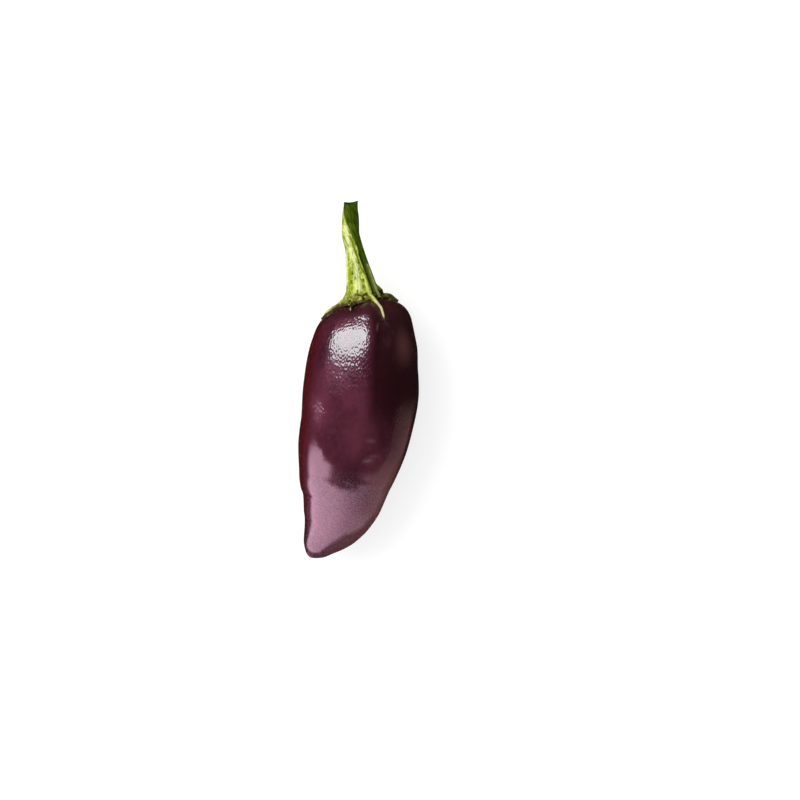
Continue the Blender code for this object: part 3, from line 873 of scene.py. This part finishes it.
def green_stalk():
    """Fresh stalk: yellow-green, smooth and slightly waxy, olive and corky in the wrinkles of the collar."""
    made, tree, shader = blank_material("fresh_pepper_stalk")
    place = add(tree, "ShaderNodeTexCoord", gives="Object")
    mark = {name: add(tree, "ShaderNodeAttribute", {"attribute_name": name}, "Fac") for name in stalk_marks}
    grain = add(tree, "ShaderNodeTexNoise", vector=place, scale=1 / (0.6 * MM), detail=3.0)

    # Threads run up the stalk and turn with its ribs: noise drawn out along them.
    turned = add(tree, "ShaderNodeCombineXYZ", x=mark["turned_x"], y=mark["turned_y"], z=mark["height"])
    drawn = add(tree, "ShaderNodeMapping", vector=turned, scale=(1.0, 1.0, 1.6))
    threads = add(tree, "ShaderNodeTexNoise", vector=drawn, scale=6.0, detail=4.0)

    # The bright face with its flecks, and the dark one across the edge from it, lighter at the foot: lit and
    # shaded copies of the green, painted light and painted shade.
    stops = [(0.36, "#62720a"), (0.5, "#8b9a20"), (0.62, "#b9c062")]
    green = add(tree, "ShaderNodeValToRGB", {"stops": stops}, fac=threads)
    stops = [(0.36, "#263700"), (0.5, "#344704"), (0.64, "#485c10")]
    dark = add(tree, "ShaderNodeValToRGB", {"stops": stops}, fac=threads)
    for sparse, dense, colour in ((0.46, 0.36, "#5c6b06"), (0.53, 0.62, "#cfd58c")):
        limits = {"from_min": sparse, "from_max": dense, "to_max": 0.55}
        fleck = add(tree, "ShaderNodeMapRange", SMOOTH, value=grain, **limits)
        green = add(tree, "ShaderNodeMix", MIX, factor=fleck, a=green, b=colour)
    green = add(tree, "ShaderNodeMix", MIX, factor=mark["shaded"], a=green, b=dark)
    green = add(tree, "ShaderNodeMix", MIX, factor=mark["lowered"], a=green, b="#56611c")

    # Pores darken the foot of the stalk: spots 0.3 mm across in the cells of a net of 1.6 mm.
    cells = add(tree, "ShaderNodeTexVoronoi", vector=place, scale=1 / (1.6 * MM))
    spots = add(tree, "ShaderNodeMapRange", SMOOTH, value=cells, from_min=0.22, from_max=0.12)
    limits = {"from_min": 0.6, "from_max": 0.4, "to_max": 0.8}
    low = add(tree, "ShaderNodeMapRange", SMOOTH, value=mark["height"], **limits)
    spots = add(tree, "ShaderNodeMath", TIMES, in_0=spots, in_1=low)
    green = add(tree, "ShaderNodeMix", MIX, factor=spots, a=green, b="#3c4a06")

    # The collar is mottled, and darker at both sides.
    clump = add(tree, "ShaderNodeTexNoise", vector=place, scale=1 / (0.9 * MM), detail=2.0)
    stops = [(0.38, "#343a02"), (0.5, "#73791f"), (0.62, "#a9aa50")]
    collar = add(tree, "ShaderNodeValToRGB", {"stops": stops}, fac=clump)
    stops = [(0.42, "#0c0901"), (0.54, "#1e1b05"), (0.66, "#68632e")]
    darker_sides = add(tree, "ShaderNodeValToRGB", {"stops": stops}, fac=clump)
    # The creases' near black is painted shade.
    foot = {"collar": collar, "sides": darker_sides, "rim": "#33290f", "tip": "#29250a", "crease": "#1c1904"}

    # The strokes and the cut come last, and the threads break up the pale strokes.
    broken = add(tree, "ShaderNodeMapRange", SMOOTH, value=threads, from_min=0.35, from_max=0.6, to_min=0.3)
    for name, colour in {**foot, **STROKE_COLOURS, "cut": "#2c3410"}.items():
        share = broken if name in ("pale", "sap", "streak", "ridge", "sunlit") else 0.9
        share = add(tree, "ShaderNodeMath", TIMES, in_0=mark[name], in_1=share)
        green = add(tree, "ShaderNodeMix", MIX, factor=share, a=green, b=colour)

    rough = add(tree, "ShaderNodeBump", strength=0.5, distance=0.12 * MM, height=grain)
    ribbed = add(tree, "ShaderNodeBump", strength=0.7, distance=0.2 * MM, height=threads, normal=rough)
    fill(tree, shader, base_color=green, normal=ribbed, roughness=0.5, specular_ior_level=0.05)
    return made


stalk.data.materials.append(green_stalk())
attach(stalk, "root")
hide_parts("stalk_and_calyx")

# The surface, the lights and the camera
# A plain pale board lit from below, seen from straight above, square to the pepper's length. Two softboxes
# light its colours, and glowing cloths show in its gloss: the key with its halo up and to the left, a low
# screen round the blossom end, and a dim one to the right. Lengths here are in metres.

FLOOR_HALF = 1.6
BOARD_GLOW = 0.72
SKY_LIGHT = 0.5
SKY_IN_GLOSS = 0.012

# Where the camera aims, the width that it sees there, and its lens and sensor in millimetres.
LOOK_AT = np.array([0.01118, -0.00549, 0.0143])
VIEW_WIDTH = 0.216
LENS = 135.0
SENSOR = 36.0

# The cloths hang at one distance from the pepper. A screen's rows are an azimuth from +X, the elevations
# that its light goes from and to there, and its radiance. Its low and top edges are blurred to either side,
# and all of its angles are in degrees.
SCREEN_DISTANCE = 0.9
SCREEN_COLUMNS = 161
SCREEN_ROWS = 81
LOW_BLUR = 9.0
TOP_BLUR = 4.0
LOW_SCREEN = (
    (-181.0, -4.0, 10.0, 0.0),
    (-177.0, -5.0, 12.0, 1.2),
    (-172.0, -7.0, 19.0, 5.2),
    (-166.0, -13.0, 29.0, 6.8),
    (-160.0, -16.0, 30.0, 6.8),
    (-155.0, -17.0, 36.0, 6.7),
    (-147.0, -17.0, 43.0, 6.5),
    (-137.0, -14.0, 46.5, 6.2),
    (-125.0, -10.0, 50.0, 5.9),
    (-114.0, -4.0, 51.5, 5.4),
    (-96.0, 6.0, 52.0, 4.3),
    (-78.0, 11.0, 50.0, 3.2),
    (-62.0, -4.0, 44.0, 2.3),
    (-52.0, -14.0, 37.5, 1.8),
    (-46.0, -18.0, 29.5, 1.3),
    (-38.0, -25.0, 18.0, 0.7),
    (-28.0, -30.0, 6.0, 0.3),
    (-14.0, -30.0, 0.0, 0.0),
)
RIGHT_SCREEN = (
    (-46.0, -45.0, 5.0, 0.0),
    (-30.0, -45.0, 12.0, 0.25),
    (-18.0, -45.0, 12.0, 0.5),
    (-4.0, -45.0, 5.0, 0.0),
)

# The way from the pepper to the key as its gloss shows it.
KEY_SEEN = (-0.337, 0.555, 0.77)

floor_mesh = bpy.data.meshes.new("table_top")
corners = [(x * FLOOR_HALF, y * FLOOR_HALF, 0.0) for x, y in ((-1, -1), (1, -1), (1, 1), (-1, 1))]
floor_mesh.from_pydata(corners, [], [(0, 1, 2, 3)])
floor = in_scene("table_top", floor_mesh)
floor_material, floor_tree, floor_shader = blank_material("white_board_lit_from_below")
fill(floor_tree, floor_shader, base_color="#a0a0a0", roughness=0.9, specular_ior_level=0.1)
fill(floor_tree, floor_shader, emission_color="#ffffff", emission_strength=BOARD_GLOW)
floor_mesh.materials.append(floor_material)
floor.visible_glossy = False


def softbox(name, direction, distance, size, radiance):
    """A square light that faces the pepper but isn't in its gloss, with power radiance x pi x its area."""
    light = bpy.data.lights.new(name, "AREA")
    light.size = size
    light.energy = radiance * math.pi * size**2
    placed = in_scene(name, light)
    way = unit(np.array(direction, float))
    placed.location = LOOK_AT + way * distance
    placed.rotation_euler = mathutils.Vector(way).to_track_quat("Z", "Y").to_euler()
    placed.visible_glossy = False
    placed.visible_camera = False


def glowing_sheet(name, points, glow, colour):
    """A sheet over a grid of points, seen only in the gloss, with a radiance at each, the glow.

    It adds to what is behind it. It isn't sampled as a lamp, which would leave the overlaps noisy.
    """
    rows, columns = points.shape[:2]
    number = np.arange(rows * columns).reshape(rows, columns)
    quads = np.stack([number[:-1, :-1], number[:-1, 1:], number[1:, 1:], number[1:, :-1]], axis=-1)
    mesh = bpy.data.meshes.new(name)
    mesh.from_pydata(points.reshape(-1, 3), [], quads.reshape(-1, 4).tolist())
    layer = mesh.attributes.new("glow", "FLOAT", "POINT")
    layer.data.foreach_set("value", glow.ravel().astype(np.float32))
    made = bpy.data.materials.new(name + "_cloth")
    made.use_nodes = True
    tree = made.node_tree
    tree.nodes.remove(tree.nodes["Principled BSDF"])
    lit = add(tree, "ShaderNodeAttribute", {"attribute_name": "glow"}, "Fac")
    emission = add(tree, "ShaderNodeEmission", color=colour, strength=lit)
    clear = add(tree, "ShaderNodeBsdfTransparent")
    both = add(tree, "ShaderNodeAddShader", in_0=emission, in_1=clear)
    fill(tree, tree.nodes["Material Output"], surface=both)
    made.cycles.emission_sampling = "NONE"
    mesh.materials.append(made)
    placed = in_scene(name, mesh)
    placed.visible_camera = False
    placed.visible_diffuse = False
    placed.visible_transmission = False
    placed.visible_volume_scatter = False
    placed.visible_shadow = False


def lit_screen(name, edges, colour):
    """Part of a dome round the pepper, lit from behind, its edges joined by straight lines and blurred."""
    azimuths, lows, tops, radiances = np.array(edges).T
    about = np.linspace(azimuths[0], azimuths[-1], SCREEN_COLUMNS)[None, :]
    low, top, radiance = (np.interp(about, azimuths, values) for values in (lows, tops, radiances))
    above = np.linspace(lows.min() - LOW_BLUR, tops.max() + TOP_BLUR, SCREEN_ROWS)[:, None]
    glow = radiance * smooth_between(low - LOW_BLUR, low + LOW_BLUR, above)
    glow = glow * smooth_between(top + TOP_BLUR, top - TOP_BLUR, above)
    about, above = np.radians(about + 0.0 * above), np.radians(above + 0.0 * about)
    way = np.stack([np.cos(above) * np.cos(about), np.cos(above) * np.sin(about), np.sin(above)], axis=-1)
    glowing_sheet(name, LOOK_AT + SCREEN_DISTANCE * way, glow, colour)


def lit_ellipse(name, direction, half_width, half_height, turned, radiance, colour, core):
    """A flat sheet that faces the pepper from a direction, with an elliptical light on it.

    The glow is 1 inside the share core of the ellipse and falls in an S curve to nothing at its edge. Half
    sizes are tangents of the angle that they span.
    """
    across = np.linspace(-1.0, 1.0, SCREEN_ROWS)
    wide, high = np.meshgrid(across, across)
    glow = smooth_between(1.0, core, np.hypot(wide, high))
    facing = unit(np.array(direction, float))
    side = unit(np.cross(np.array([0.0, 0.0, 1.0]), facing))
    up = np.cross(facing, side)
    turn = math.radians(turned)
    long_way = (side * math.cos(turn) + up * math.sin(turn)) * half_width
    short_way = (up * math.cos(turn) - side * math.sin(turn)) * half_height
    way = facing + wide[..., None] * long_way + high[..., None] * short_way
    glowing_sheet(name, LOOK_AT + SCREEN_DISTANCE * way, glow * radiance, colour)


lit_ellipse("key_seen", KEY_SEEN, 0.69, 0.275, turned=145.0, radiance=15.5, colour="#ebfcf8", core=0.85)
lit_ellipse("key_halo", KEY_SEEN, 1.2, 0.56, turned=150.0, radiance=2.8, colour="#ffd2f4", core=0.2)
lit_screen("low_screen", LOW_SCREEN, "#ffcfe9")
lit_screen("right_screen", RIGHT_SCREEN, "#ffc4b4")
softbox("key", (-0.65, 0.3, 0.7), distance=1.0, size=0.8, radiance=4.6)
softbox("ceiling", (-0.2, 0.1, 1.0), distance=1.3, size=1.24, radiance=1.2)

# The sky lights the colours, and the gloss shows it nearly black.
world = bpy.data.worlds.new("studio")
world.use_nodes = True
bpy.context.scene.world = world
tree = world.node_tree
in_gloss = add(tree, "ShaderNodeLightPath", gives="Is Glossy Ray")
strength = add(tree, "ShaderNodeMapRange", value=in_gloss, to_min=SKY_LIGHT, to_max=SKY_IN_GLOSS)
fill(tree, tree.nodes["Background"], color="#ffffff", strength=strength)

camera_data = bpy.data.cameras.new("camera")
camera_data.lens = LENS
camera_data.sensor_width = SENSOR
camera = in_scene("camera", camera_data)
camera.location = LOOK_AT + np.array([0.0, 0.0, VIEW_WIDTH * LENS / SENSOR])
bpy.context.scene.camera = camera
bpy.context.scene.view_settings.view_transform = "Standard"
